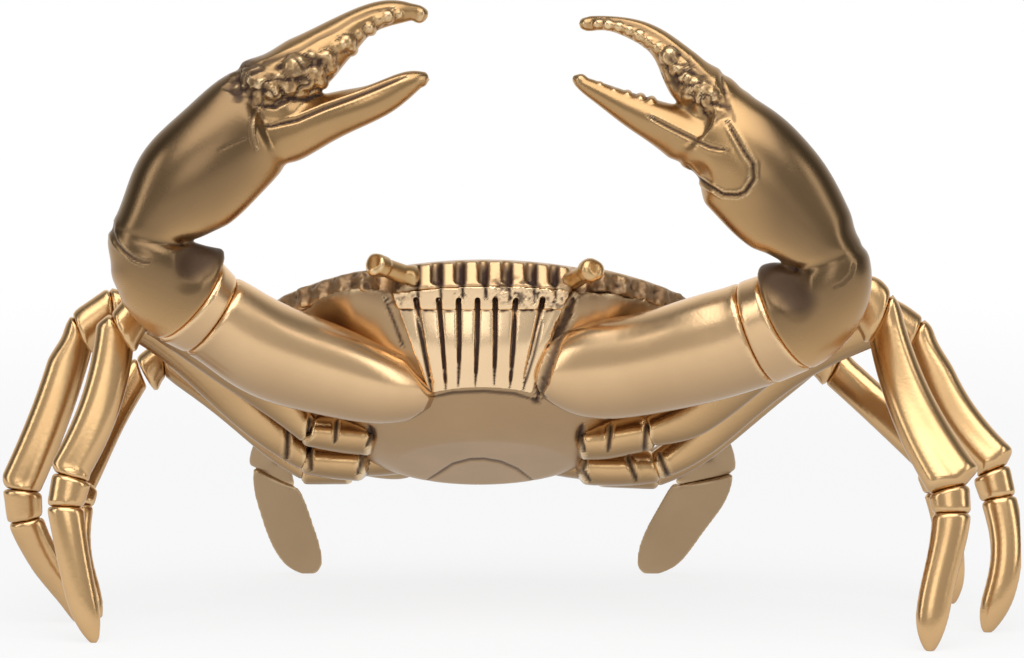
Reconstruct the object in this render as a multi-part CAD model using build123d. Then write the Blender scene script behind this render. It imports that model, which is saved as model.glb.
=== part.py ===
from build123d import *

import os
from dataclasses import dataclass
from math import cos, radians, sin

# A cast brass crab, 433 mm wide, brazed together from separate castings.
# It faces -Y with its claws raised; left and right are the viewer's, seen from the front.
# All sizes are in millimetres.

# Seams between castings: each casting's edge is drawn in, so that a seam shows as a V groove.
LIP = 1.3
NECK = 1.0

# Where a ring's outline starts, in degrees round its oval: at the rear.
REAR = 270.0

# The bend after a leaning seam: how far along it lies, and how far it bulges out.
BEND_SHARE = 0.6
BEND_BULGE = 1.0

# Round spigots that centre the claw castings on each other.
SPIGOT_LENGTH = 6.0
SPIGOT_ROOT = 2.0
SPIGOT_SHARE = 0.4
SPIGOT_GAP = 0.05
SOCKET_EXTRA = 0.5

# Body: built level in its own frame, front towards -Y, then tilted nose up.
BODY_CENTRE = (-13.5, -2.0, 125.5)
NOSE_UP = 30.0
YAW = 1.4
WALL = 3.0

# Carapace, in the body's own frame.
FRONT = 66.0
DOME_HEIGHT = 17.0
DOME_RADII = (185.0, 140.0, 150.0)
RIM_DROP = 12.0
RIM_ARCH = 746.0
FRONT_HALF = 36.0
ORBIT_OUTER = 47.0
TEETH = 8
TOOTH_HEIGHT = 2.8
FLUTES = 7
FLUTE_PITCH = 9.9
FLUTE_RADIUS = 2.2
FLUTE_INSET = 0.5
FLUTE_FOOT = -9.0

# Underbody: ovals from the rim down to the flat belly, as (z, centre y, half width, half length).
BOWL = (
    (-8.0, 0.0, 100.0, 62.0),
    (-30.0, 3.0, 86.0, 57.0),
    (-46.0, 8.5, 65.0, 50.0),
    (-55.0, 14.0, 50.0, 38.0),
    (-59.0, 18.0, 37.0, 26.0),
)

# Abdomen flap: an oval line engraved in the belly.
FLAP_CENTRE = 70.0
FLAP_HALF_WIDTH = 27.0
FLAP_HALF_LENGTH = 56.0
ENGRAVED_WIDTH = 1.2
ENGRAVED_DEPTH = 0.8

# Mouth plate, as seen from the front.
PLATE_PROUD = 2.4
PLATE_GROOVE_FLOOR = 1.0
PLATE_TOP = 151.0
PLATE_FOOT = 101.5
PLATE_CENTRE = -13.2
PLATE_TOP_HALF = 39.5
PLATE_FOOT_HALF = 21.5
PLATE_ARCH = 3.0
# The brow fills the face from the ribs up to the carapace, curved in plan like the frontal margin.
BROW_FRONT = -64.8
BROW_ARCH = 270.0
BROW_HEIGHT = 13.0
# Upright grooves, each as its x at the top and at the foot.
PLATE_GROOVES = (
    (-40.5, -34.0),
    (-30.8, -28.0),
    (-22.3, -22.5),
    (-14.4, -15.5),
    (-7.0, -7.5),
    (1.6, -0.9),
    (13.2, 4.7),
)
GROOVE_HEAD = 143.0
GROOVE_TOP = 2.2
GROOVE_FOOT = 1.0

# Eyes: where the stalk leaves the body, and the middle of the knob.
LEFT_EYE = ((-42.0, -58.0, 150.5), (-55.0, -70.5, 157.2))
RIGHT_EYE = ((24.0, -56.0, 148.5), (32.5, -70.0, 155.0))
# Each eye's stalk radius, and its knob's radius, length and rounding.
LEFT_KNOB = (3.8, 4.5, 7.0, 1.6)
RIGHT_KNOB = (3.6, 5.1, 7.5, 2.9)

BIG = 600.0


@dataclass
class Ring:
    """One oval cross-section of a limb: its centre, half width across the limb, half depth."""

    x: float
    y: float
    z: float
    wide: float
    deep: float
    lean: float | None = None

    @property
    def centre(self):
        return Vector(self.x, self.y, self.z)


def heading(rings, index):
    """Direction of the limb at a ring; a ring's own lean, in degrees in the front view, comes first."""
    ring = rings[index]
    if ring.lean is not None:
        return Vector(cos(radians(ring.lean)), 0, sin(radians(ring.lean)))
    way = Vector(0, 0, 0)
    if index > 0:
        way += (ring.centre - rings[index - 1].centre).normalized()
    if index < len(rings) - 1:
        way += (rings[index + 1].centre - ring.centre).normalized()
    return way.normalized()


def oval(ring, way, shift=0.0, inset=0.0):
    """The ring's face, moved along the limb by shift and made smaller by inset.

    Its outline starts at the rear, where a bend of the limb hardly moves it.
    """
    across = way.cross(Vector(0, 1, 0)).normalized()
    plane = Plane(origin=ring.centre + way * shift, x_dir=across, z_dir=way)
    wide, deep = ring.wide - inset, ring.deep - inset
    outline = EllipticalCenterArc((0, 0), wide, deep, start_angle=REAR, arc_size=360)
    return plane * make_face(outline)


def with_bend(rings, seam):
    """The rings with one more after a seam, where the limb bends from the seam's lean to its course."""
    knee, shin = rings[seam], rings[seam + 1]
    middle = knee.centre + (shin.centre - knee.centre) * BEND_SHARE
    middle += heading([knee], 0) * BEND_BULGE
    wide, deep = (knee.wide + shin.wide) / 2, (knee.deep + shin.deep) / 2
    bend = Ring(middle.X, middle.Y, middle.Z, wide, deep)
    return [*rings[: seam + 1], bend, *rings[seam + 1 :]]


def flat_end(solid, point):
    """The flat face of a solid that lies nearest to a point."""
    return solid.faces().filter_by(GeomType.PLANE).sort_by_distance(point)[0]


def casting(rings, first, last, seam_at_start=True, seam_at_end=True):
    """One casting of a limb, from ring first to ring last, as one closed skin."""
    ways = [heading(rings, index) for index in range(len(rings))]
    start_lip = LIP if seam_at_start else 0.0
    end_lip = LIP if seam_at_end else 0.0
    ovals = [oval(rings[first], ways[first], start_lip)]
    ovals += [oval(rings[index], ways[index]) for index in range(first + 1, last)]
    ovals += [oval(rings[last], ways[last], -end_lip)]
    body = loft(ovals)
    skin = body.faces()
    for index, has_seam in ((first, seam_at_start), (last, seam_at_end)):
        if not has_seam:
            continue
        middle = rings[index].centre
        shoulder = flat_end(body, middle)
        neck = oval(rings[index], ways[index], inset=NECK)
        lip = loft([shoulder, neck], ruled=True)
        joint = shoulder.center()
        skin = [face for face in skin if (face.center() - joint).length > NECK / 10]
        skin += lip.faces().filter_by(GeomType.PLANE, reverse=True) + [flat_end(lip, middle)]
    return Part() + Solid(Shell(skin))


def spigot(rings, index, gap=0.0, extra=0.0):
    """A round pin on the seam at a ring, pointing back along the limb from inside its casting."""
    way = heading(rings, index)
    ring = rings[index]
    radius = SPIGOT_SHARE * min(ring.wide, ring.deep) + gap
    length = SPIGOT_ROOT + SPIGOT_LENGTH + extra
    plane = Plane(origin=ring.centre + way * SPIGOT_ROOT, z_dir=way)
    return plane * Cylinder(radius, length, align=(Align.CENTER, Align.CENTER, Align.MAX))


def pinned(pieces, rings, seams):
    """Gives each later casting a spigot at its seam, and the one before it a socket."""
    for (before, after), index in seams.items():
        pieces[after] += spigot(rings, index)
        pieces[before] -= spigot(rings, index, SPIGOT_GAP, SOCKET_EXTRA)
    return pieces


# Body


def body_frame():
    """The place of the body's own frame in the world."""
    return Location(BODY_CENTRE) * Rotation(0, 0, YAW) * Rotation(-NOSE_UP, 0, 0)


def bowl(proud=0.0):
    """The underbody's outer form, or one that stands proud of it by the given amount."""
    ovals = []
    for index, (z, y, wide, long) in enumerate(BOWL):
        foot = proud if index == len(BOWL) - 1 else 0.0
        ovals.append(Plane(origin=(0, y, z - foot)) * Ellipse(wide + proud, long + proud))
    return loft(ovals)


def under_rim():
    """Everything below the arched plane where the carapace sits on the underbody."""
    arch = Cylinder(RIM_ARCH, BIG, rotation=(90, 0, 0))
    return Pos(0, 0, -RIM_DROP - RIM_ARCH) * arch


def saw_teeth(start, middle, end):
    """Forward-pointing teeth along the front side margin, as the corners of their outline."""
    margin = ThreePointArc(start, middle, end)
    corners = []
    for tooth in range(TEETH):
        share = tooth / TEETH
        root = margin @ share
        outward = (margin % share).rotate(Axis.Z, -90)
        tip = margin @ (share + 0.3 / TEETH) + outward * TOOTH_HEIGHT
        corners += [root, tip]
    return corners + [margin @ 1]


def carapace_outline():
    """Plan of the carapace: frontal margin, eye notches, side teeth, smooth rear."""
    notch = [(FRONT_HALF, -63.0), (38.5, -56.5), (44.0, -55.0), (ORBIT_OUTER, -61.0)]
    teeth = saw_teeth((ORBIT_OUTER, -61.0), (81.0, -42.0), (103.0, -10.0))
    spine = (108.0, -6.0)
    right = Polyline(*notch, *teeth[1:], spine)
    rear_side = ThreePointArc(spine, (85.0, 37.0), (38.0, 61.0))
    half = right + rear_side
    front = ThreePointArc((-FRONT_HALF, -63.0), (0, -FRONT), (FRONT_HALF, -63.0))
    rear = ThreePointArc((38.0, 61.0), (0, 64.5), (-38.0, 61.0))
    return make_face([*half.edges(), *mirror(half, about=Plane.YZ).edges(), front, rear])


def dome(inset=0.0):
    """The domed top of the carapace."""
    radii = [radius - inset for radius in DOME_RADII]
    return Pos(0, 0, DOME_HEIGHT - DOME_RADII[2]) * scale(Sphere(1.0), by=tuple(radii))


def flutes():
    """Upright hollows that part the square lobes of the frontal margin."""
    cutters = []
    for number in range(FLUTES):
        x = (number - (FLUTES - 1) / 2) * FLUTE_PITCH
        y = -FRONT + 3.0 * (x / FRONT_HALF) ** 2 + FLUTE_INSET
        shaft = Cylinder(FLUTE_RADIUS, 30, align=(Align.CENTER, Align.CENTER, Align.MIN))
        cutters.append(Pos(x, y, FLUTE_FOOT) * (shaft + Sphere(FLUTE_RADIUS)))
    return cutters


def carapace():
    """Domed shell with its toothed rim, open below."""
    block = Pos(0, 0, -40) * extrude(carapace_outline(), 80)
    shell = (block & dome()) - under_rim()
    hollow = Pos(0, 0, -40) * extrude(Ellipse(BOWL[0][2] - 6, BOWL[0][3] - 6), 80)
    shell -= hollow & dome(WALL)
    for cutter in flutes():
        shell -= cutter
    return shell


def underbody():
    """Bowl-shaped shell with the abdomen flap engraved in its belly."""
    cavity = Pos(0, 0, WALL) * bowl(-WALL)
    shell = (bowl() - cavity) & under_rim()
    line = Ellipse(FLAP_HALF_WIDTH, FLAP_HALF_LENGTH)
    line -= Ellipse(FLAP_HALF_WIDTH - ENGRAVED_WIDTH, FLAP_HALF_LENGTH - ENGRAVED_WIDTH)
    cutter = extrude(Plane(origin=(0, FLAP_CENTRE, -70)) * line, 40)
    return shell - (cutter - bowl(-ENGRAVED_DEPTH))


def mouth_plate(body, lid):
    """Ribbed plate over the mouth, with its brow, seated on the underbody below the carapace."""
    foot = ThreePointArc(
        (PLATE_CENTRE - PLATE_FOOT_HALF, PLATE_FOOT),
        (PLATE_CENTRE, PLATE_FOOT + PLATE_ARCH),
        (PLATE_CENTRE + PLATE_FOOT_HALF, PLATE_FOOT),
    )
    sides = Polyline(
        foot @ 1,
        (PLATE_CENTRE + PLATE_TOP_HALF, PLATE_TOP),
        (PLATE_CENTRE - PLATE_TOP_HALF, PLATE_TOP),
        foot @ 0,
    )
    front = Plane.XZ
    outline = extrude(front * make_face([foot, *sides.edges()]), 90)
    brow_place = Pos(PLATE_CENTRE, BROW_FRONT + BROW_ARCH, PLATE_TOP)
    brow = brow_place * Cylinder(BROW_ARCH, BROW_HEIGHT, align=(Align.CENTER, Align.CENTER, Align.MAX))
    front_form = (body * bowl(PLATE_PROUD) + brow) & body * under_rim()
    plate = (outline & front_form) - body * bowl() - lid
    seat = body * bowl(PLATE_GROOVE_FLOOR)
    for top, low in PLATE_GROOVES:
        groove = Polygon(
            (low - GROOVE_FOOT / 2, PLATE_FOOT + PLATE_ARCH + 1.5),
            (low + GROOVE_FOOT / 2, PLATE_FOOT + PLATE_ARCH + 1.5),
            (top + GROOVE_TOP / 2, GROOVE_HEAD),
            (top - GROOVE_TOP / 2, GROOVE_HEAD),
            align=None,
        )
        plate -= extrude(front * groove, 90) - seat
    return plate


def eye(base, knob, stalk_radius, knob_radius, knob_length, rounding):
    """Eye stalk with its knob, a short drum with rounded edges."""
    start = Vector(*base)
    end = Vector(*knob)
    way = (end - start).normalized()
    length = (end - start).length
    stalk_plane = Plane(origin=start - way * 4, z_dir=way)
    up = (Align.CENTER, Align.CENTER, Align.MIN)
    stalk = stalk_plane * Cone(stalk_radius + 0.8, stalk_radius, length + 4, align=up)
    drum = Cylinder(knob_radius, knob_length)
    drum = fillet(drum.edges().filter_by(GeomType.CIRCLE), rounding)
    return stalk + Plane(origin=end, z_dir=way) * drum


# Claws: rings from the root at the mouth, over arm, cuff and wrist, to the end of the palm.

LEFT_CLAW = [
    Ring(-26, -46, 99, 8, 7),
    Ring(-40, -57, 102.5, 12.2, 9.5),
    Ring(-54, -63, 105, 15.8, 13),
    Ring(-72, -67, 111, 18.7, 16),
    Ring(-93, -72, 118.5, 20.3, 17.5),
    Ring(-111, -77, 128, 19.8, 17),
    Ring(-125, -80, 137.5, 19, 16.5),
    Ring(-134, -84, 144.5, 20.6, 17.5),
    Ring(-143, -89, 153, 20.1, 18),
    Ring(-149, -92, 163, 18.4, 17),
    Ring(-150, -92, 172, 15.5, 15),
    Ring(-144, -92, 181.5, 18, 15.5),
    Ring(-134, -91, 192, 23, 16.5),
    Ring(-124, -89, 201.5, 23.6, 16.5),
    Ring(-111, -85, 214, 23, 15.5),
    Ring(-103.5, -82, 220, 22, 14.5, 26.0),
]
RIGHT_CLAW = [
    Ring(12, -57, 107, 8, 7),
    Ring(21, -60, 109.5, 15.9, 12),
    Ring(37, -63, 112, 20.8, 15.5),
    Ring(58, -68, 116, 21.6, 17.5),
    Ring(78.5, -74, 122, 22.4, 18),
    Ring(91, -77, 126, 22.4, 18),
    Ring(102, -80, 130, 22.5, 18),
    Ring(114, -85, 135.5, 22.2, 18.5),
    Ring(125, -90, 143.5, 20.5, 18.5),
    Ring(131, -93, 153.5, 17.5, 17),
    Ring(131, -93, 163, 15.5, 15.5),
    Ring(120.5, -92, 176.5, 20.7, 16),
    Ring(108, -90, 189.5, 23.8, 16.5),
    Ring(95, -87, 203, 23.8, 16.5),
    Ring(85, -84, 212, 22.4, 15.5),
    Ring(81, -82, 217.5, 21.2, 14.8, 163.0),
]
# Castings of a claw, each as its first and last ring.
CLAW_CASTINGS = {"arm": (0, 6), "cuff": (6, 7), "wrist": (7, 10), "palm": (10, 15)}
CLAW_SEAMS = {("arm", "cuff"): 6, ("cuff", "wrist"): 7, ("wrist", "palm"): 10}

# Fingers: the root as its rise above the middle of the palm's end, half width and half depth,
# then rings to the tip.

LEFT_UPPER_FINGER = [
    (11.4, 11.2, 13.2),
    Ring(-95, -81, 238.2, 11.8, 12.8),
    Ring(-82.5, -79, 243, 12, 10.8),
    Ring(-72, -77, 251, 9.5, 8.5),
    Ring(-64, -75, 257.5, 6.8, 6.5),
    Ring(-53.5, -73, 262, 5.6, 5.2),
    Ring(-43.5, -71, 262.8, 4.1, 4),
    Ring(-35, -70, 261, 1.3, 1.3),
]
LEFT_LOWER_FINGER = [
    (-9.4, 12.6, 13.2),
    Ring(-86, -79, 216, 11.8, 12),
    Ring(-73.5, -77, 220.5, 9.5, 9.8),
    Ring(-57.5, -74, 225.6, 7.4, 7.2),
    Ring(-45, -72, 231.2, 5.4, 5.2),
    Ring(-35, -70, 235.5, 1.6, 1.6),
]
RIGHT_UPPER_FINGER = [
    (11.0, 10.4, 12.6),
    Ring(79.3, -82, 232, 10.6, 11.8),
    Ring(73.5, -80, 235.5, 10.5, 9.5),
    Ring(66, -78, 244.5, 7.4, 7.2),
    Ring(59, -76, 251, 5.6, 5.6),
    Ring(49, -74, 256, 4.3, 4.3),
    Ring(35, -71, 258.2, 3.1, 3.1),
    Ring(28, -70, 257.8, 1.5, 1.5),
]
RIGHT_LOWER_FINGER = [
    (-9.0, 12.2, 13.4),
    Ring(71, -80.5, 212.5, 11.6, 11.8),
    Ring(61, -78, 217.3, 9.2, 9.2),
    Ring(50, -76, 222.3, 7.1, 7.1),
    Ring(37.5, -73, 228.8, 4.7, 4.7),
    Ring(29, -71, 233.4, 2.9, 2.9),
    Ring(25.5, -70, 236, 1.3, 1.3),
]


def finger_root(palm_end, rise, wide, deep):
    """A finger's first ring, in the plane of the palm's end and above or below its middle."""
    way = heading([palm_end], 0)
    up = way.cross(Vector(0, 1, 0)).normalized()
    up = up if up.Z > 0 else -up
    place = palm_end.centre + up * rise
    return Ring(place.X, place.Y, place.Z, wide, deep, palm_end.lean)


def claw(side, rings, upper, lower, body_block):
    """All castings of one claw."""
    pieces = {}
    upper = [finger_root(rings[-1], *upper[0]), *upper[1:]]
    lower = [finger_root(rings[-1], *lower[0]), *lower[1:]]
    for name, (first, last) in CLAW_CASTINGS.items():
        pieces[name] = casting(rings, first, last, seam_at_start=name != "arm")
    pinned(pieces, rings, CLAW_SEAMS)
    pieces["arm"] -= body_block
    upper_finger = casting(upper, 0, len(upper) - 1, seam_at_end=False)
    lower_finger = casting(lower, 0, len(lower) - 1, seam_at_end=False) - upper_finger
    for finger_rings in (upper, lower):
        pieces["palm"] -= spigot(finger_rings, 0, SPIGOT_GAP, SOCKET_EXTRA)
    pieces["upper_finger"] = upper_finger + spigot(upper, 0)
    pieces["lower_finger"] = lower_finger + spigot(lower, 0) - pieces["palm"]
    return {f"{side}_{name}": solid for name, solid in pieces.items()}


# Walking legs: the middle of the leg at each ring, from the hip to the tip of the toe.
# The rings share one set of half widths, which a leg's own size scales.

LEG_HALF_WIDTHS = (6.5, 7.2, 6.4, 8.5, 9.5, 9.8, 10.3, 10.0, 9.3, 8.9, 8.4, 7.8, 7.3, 6.8, 5.2, 1.8)
LEG_HALF_DEPTHS = (8.5, 8.5, 7.0, 6.0, 6.2, 6.6, 7.2, 7.0, 6.2, 5.6, 5.6, 5.4, 5.0, 4.6, 3.8, 1.8)
# One more ring than in the tables, worked out from its neighbours, takes the bend below the knee.
LEG_CASTINGS = {
    "hip": (0, 2),
    "thigh": (2, 6),
    "knee": (6, 7),
    "shin": (7, 11),
    "ankle": (11, 12),
    "toe": (12, 16),
}
KNEE_SEAM = 7
KNEE_LEAN = -28.0
LEGS = {
    "left_leg1": (1.0, [
        (-38, -18, 78), (-70, -27, 79.5), (-87, -30, 82.5), (-102, -34, 97), (-122, -41, 113),
        (-141, -47, 128), (-157, -52, 135.5), (-164.5, -56, 127), (-170, -62, 108.5), (-178, -68, 86),
        (-184.5, -73, 68), (-187, -76, 56), (-185.5, -79, 44), (-182, -82, 25), (-177, -84, 7),
        (-173.5, -85, -2),
    ]),
    "left_leg2": (1.0, [
        (-40, -3, 66), (-72, -8, 65), (-89, -8, 67), (-104, -10, 79), (-124, -14, 98),
        (-147, -19, 120), (-172, -23, 132), (-185, -27, 123), (-192, -32, 107), (-201, -39, 82),
        (-208.5, -45, 58), (-207.5, -46, 45.5), (-203.5, -45, 33), (-195, -42, 17), (-187.5, -40, 4),
        (-184, -39, -3),
    ]),
    "left_leg3": (0.9, [
        (-38, 8, 60), (-72, 12, 56.5), (-90, 14, 58), (-104, 17, 67), (-122, 22, 82),
        (-140, 26, 97), (-154, 28, 105), (-162, 26, 98.5), (-169, 18, 87), (-178, 6, 71),
        (-187, -9, 54.5), (-188, -14, 46), (-186, -19, 35), (-182, -25, 18), (-179, -29, 5),
        (-178, -30, -3),
    ]),
    "right_leg1": (1.05, [
        (11, -18, 77), (42, -27, 77.5), (59, -30, 79), (80, -35, 90), (97, -40, 105),
        (120, -46, 124), (147, -51, 138), (155, -53, 131), (161, -58, 117), (169, -68, 95),
        (182, -84, 64.5), (183, -87, 55), (182, -91, 43), (177.5, -97, 24), (173.5, -101.5, 5),
        (172.5, -103, -3),
    ]),
    "right_leg2": (1.0, [
        (13, -3, 65), (44, -8, 62.5), (62, -8, 63), (80, -9, 74), (102, -12, 94),
        (129, -15, 114), (161, -19, 128), (174, -21, 121.5), (180.5, -26, 107), (192, -36, 87),
        (204, -45, 66), (207, -48, 55), (208.5, -53, 43), (206.5, -60, 21), (202, -62, 4),
        (200.5, -62.5, -3),
    ]),
    "right_leg3": (0.92, [
        (11, 8, 60), (44, 13, 55), (62, 14, 56), (80, 18, 66), (99, 24, 81),
        (118, 31, 96), (134, 37, 105), (143, 36, 100), (154, 29, 90.5), (168, 19, 78.5),
        (184, 8, 60), (187.5, 6, 50), (190.5, 4, 37), (192.5, 3, 18), (193, 3, 4),
        (192.5, 3, -3),
    ]),
}


def leg_rings(side, size, middles):
    """Rings of one walking leg."""
    rings = []
    for index, (x, y, z) in enumerate(middles):
        wide = size * LEG_HALF_WIDTHS[index]
        deep = size * LEG_HALF_DEPTHS[index]
        lean = None
        if index == KNEE_SEAM:
            lean = KNEE_LEAN if side == "right" else 180 - KNEE_LEAN
        rings.append(Ring(x, y, z, wide, deep, lean))
    return with_bend(rings, KNEE_SEAM)


def leg(name, size, middles, body_block):
    """All castings of one walking leg; the toe is cut flat where it stands."""
    rings = leg_rings(name.split("_")[0], size, middles)
    pieces = {}
    for part, (first, last) in LEG_CASTINGS.items():
        solid = casting(rings, first, last, part != "hip", part != "toe")
        pieces[f"{name}_{part}"] = solid
    pieces[f"{name}_hip"] -= body_block
    pieces[f"{name}_toe"] -= floor_block()
    return pieces


# Paddles: the flattened rearmost legs.

LEFT_PADDLE = [
    Ring(-42, 22, 60, 6, 6),
    Ring(-78, 37, 55, 6.2, 6.2),
    Ring(-98, 45, 63, 7.5, 6.5),
    Ring(-103, 50, 66, 9, 6.5, 180.0),
    Ring(-109, 58, 56, 9.3, 4.5),
    Ring(-108, 62, 47, 10.3, 3.6, 243.0),
    Ring(-107.5, 66, 36, 10.8, 2.6),
    Ring(-104.5, 71, 21, 11, 2.3),
    Ring(-100.5, 75, 9, 9.4, 2.2),
    Ring(-97, 77, 2, 6, 2.1),
    Ring(-95.5, 77.8, -1.5, 3, 2),
]
RIGHT_PADDLE = [
    Ring(15, 27, 60, 6, 6),
    Ring(54, 38, 54, 6.2, 6.2),
    Ring(78, 45, 63, 7.5, 6.5),
    Ring(85, 50, 66, 9, 6.5, 0.0),
    Ring(89.5, 58, 57, 11, 4.5),
    Ring(87, 62, 46, 13.2, 3.6, -78.0),
    Ring(81, 66, 33, 12.5, 2.6),
    Ring(73, 71, 19, 11.6, 2.3),
    Ring(67, 75, 8.5, 9.6, 2.2),
    Ring(63, 77, 2, 6, 2.1),
    Ring(61, 77.8, -1.5, 3, 2),
]
PADDLE_SEAM = 3
# As in the legs, one more ring takes the bend after the seam.
PADDLE_CASTINGS = {"thigh": (0, 3), "shank": (3, 6), "blade": (6, 11)}


def paddle(side, rings, body_block):
    """All castings of one paddle leg; the blade is cut flat where it stands."""
    rings = with_bend(rings, PADDLE_SEAM)
    pieces = {}
    for part, (first, last) in PADDLE_CASTINGS.items():
        solid = casting(rings, first, last, part != "thigh", part != "blade")
        pieces[f"{side}_paddle_{part}"] = solid
    pieces[f"{side}_paddle_shank"] -= pieces[f"{side}_paddle_thigh"]
    pieces[f"{side}_paddle_thigh"] -= body_block
    pieces[f"{side}_paddle_blade"] -= floor_block()
    return pieces


def floor_block():
    """Everything below the surface that the crab stands on."""
    return Pos(0, 0, -BIG / 2) * Box(BIG, BIG, BIG)


def crab():
    """All castings by name, in place."""
    body = body_frame()
    body_block = body * (bowl() & under_rim())
    lid = body * carapace()
    plate = mouth_plate(body, lid)
    pieces = {"carapace": lid, "underbody": body * underbody(), "mouth_plate": plate}
    shell_block = body_block + plate
    pieces["left_eye"] = eye(*LEFT_EYE, *LEFT_KNOB) - lid - body_block
    pieces["right_eye"] = eye(*RIGHT_EYE, *RIGHT_KNOB) - lid - body_block
    pieces |= claw("left", LEFT_CLAW, LEFT_UPPER_FINGER, LEFT_LOWER_FINGER, shell_block)
    pieces |= claw("right", RIGHT_CLAW, RIGHT_UPPER_FINGER, RIGHT_LOWER_FINGER, shell_block)
    for name, (size, middles) in LEGS.items():
        pieces |= leg(name, size, middles, body_block)
    pieces |= paddle("left", LEFT_PADDLE, body_block)
    pieces |= paddle("right", RIGHT_PADDLE, body_block)
    return pieces


def main():
    pieces = crab()
    whole = Compound(children=[Compound(list(solid.solids())) for solid in pieces.values()])
    box = whole.bounding_box()
    home = Pos(-box.center().X, -box.center().Y, -box.min.Z)
    os.makedirs("parts", exist_ok=True)
    for name, solid in pieces.items():
        export_step(home * solid, f"parts/{name}.step")
    print("moved by", home.position)
    print("size", box.size)


main()
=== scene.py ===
"""A cast brass crab figurine: the fine sculpting and the finish of its castings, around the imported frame."""

import math
from itertools import product

import bmesh
import bpy
import numpy as np
from mathutils import Matrix, Vector


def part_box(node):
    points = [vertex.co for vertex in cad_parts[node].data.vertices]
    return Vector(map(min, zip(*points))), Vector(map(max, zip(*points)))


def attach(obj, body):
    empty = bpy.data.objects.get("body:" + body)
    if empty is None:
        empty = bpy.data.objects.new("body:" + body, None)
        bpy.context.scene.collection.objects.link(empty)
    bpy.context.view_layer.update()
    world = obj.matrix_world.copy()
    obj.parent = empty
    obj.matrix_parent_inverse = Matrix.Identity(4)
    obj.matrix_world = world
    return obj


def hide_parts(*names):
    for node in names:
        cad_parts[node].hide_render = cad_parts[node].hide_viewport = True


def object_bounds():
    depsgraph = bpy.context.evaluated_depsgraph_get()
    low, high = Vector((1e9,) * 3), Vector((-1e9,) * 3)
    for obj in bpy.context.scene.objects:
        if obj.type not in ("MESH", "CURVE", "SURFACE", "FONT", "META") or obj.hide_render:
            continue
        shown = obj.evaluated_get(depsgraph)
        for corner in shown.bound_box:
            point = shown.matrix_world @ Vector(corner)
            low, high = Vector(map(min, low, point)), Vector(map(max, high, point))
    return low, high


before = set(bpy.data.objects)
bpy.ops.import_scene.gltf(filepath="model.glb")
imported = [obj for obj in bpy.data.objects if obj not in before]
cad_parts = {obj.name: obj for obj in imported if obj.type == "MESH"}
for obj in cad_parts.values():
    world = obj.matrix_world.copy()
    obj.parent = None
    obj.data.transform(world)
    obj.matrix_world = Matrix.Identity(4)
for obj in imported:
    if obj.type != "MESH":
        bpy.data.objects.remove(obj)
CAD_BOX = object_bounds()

MM = 0.001

# The photograph's frame and the camera fitted to it, in millimetres about the body's working origin.
PHOTO_WIDTH = 1024
PHOTO_HEIGHT = 658
FOCAL_PX = 4167.0
SENSOR_WIDTH = 36.0
CAMERA_BACK = 1800.0
CAMERA_UP = 341.0
CAMERA_PITCH = math.radians(6.94)
HOME = np.array([0.697, 15.140, 0.0])
CAMERA_EYE = HOME + (0, -CAMERA_BACK, CAMERA_UP)

# The solids' box, less a hair: no sculpted point leaves it.
BOX_MARGIN = 0.01
CAD_LOW = np.array(CAD_BOX[0]) / MM + BOX_MARGIN
CAD_HIGH = np.array(CAD_BOX[1]) / MM - BOX_MARGIN


def photo_pixels(points):
    """Photo pixel (u, v) of each point, given in millimetres in the row frame."""
    x, y, z = (points - HOME).T
    back, up = y + CAMERA_BACK, z - CAMERA_UP
    depth = back * math.cos(CAMERA_PITCH) - up * math.sin(CAMERA_PITCH)
    rise = back * math.sin(CAMERA_PITCH) + up * math.cos(CAMERA_PITCH)
    across = PHOTO_WIDTH / 2 + FOCAL_PX * x / depth
    down = PHOTO_HEIGHT / 2 - FOCAL_PX * rise / depth
    return np.stack([across, down], axis=1)


# Sculpting: a casting is a remeshed copy of its solids, whose points are then moved.

# Numbers that scatter a grid cell's place and a seed into an even random value.
CELL_FACTORS = (73856093, 19349663, 83492791)
SEED_FACTOR = 40503
MIXING = ((15, 2246822519), (13, 3266489917))
LOW_32_BITS = 0xFFFFFFFF
LOW_16_BITS = 0xFFFF

# Steps that even a surface out without shrinking it: one inwards and a slightly longer one back.
RELAX_STEPS = (0.63, -0.65)
# How far a point turns to the camera where a mark on the front starts and where it is full.
FRONT_START = -0.05
FRONT_FULL = 0.25
# Share of a limb's length at its two ends that is left out of its even curve, where the curve fades
# out again below, and how far it may shrink or swell the limb.
END_SHARE = 0.1
LOWER_FADE = 0.94
GIRTH_LIMITS = (0.7, 1.3)
# Half width of a crack, as a value of the noise that it follows.
CRACK_WIDTH = 0.16
# How hollow, in 1/mm, the surface is where patina starts and is full, and how sharp where polish does.
PATINA_BEND = (0.12, 0.7)
RUB_BEND = (0.25, 1.1)


def smoothstep(low, high, value):
    """0 below low, 1 above high, smooth between; low may be the larger."""
    share = np.clip((value - low) / (high - low), 0, 1)
    return share * share * (3 - 2 * share)


def noise(points, scale, seed=0):
    """Smooth value noise between -1 and 1 at each point, with lumps of about the given scale."""
    cell = np.floor(points / scale).astype(np.int64)
    part = points / scale - cell
    part = part * part * (3 - 2 * part)
    total = np.zeros(len(points))
    for corner in product((0, 1), repeat=3):
        mixed = seed * SEED_FACTOR
        for places, factor in zip((cell + corner).T, CELL_FACTORS):
            mixed = mixed ^ (places * factor)
        for shift, factor in MIXING:
            mixed = ((mixed ^ (mixed >> shift)) * factor) & LOW_32_BITS
        weight = np.prod(np.where(corner, part, 1 - part), axis=1)
        total += weight * ((mixed >> 8 & LOW_16_BITS) / (LOW_16_BITS / 2) - 1)
    return total


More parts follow.
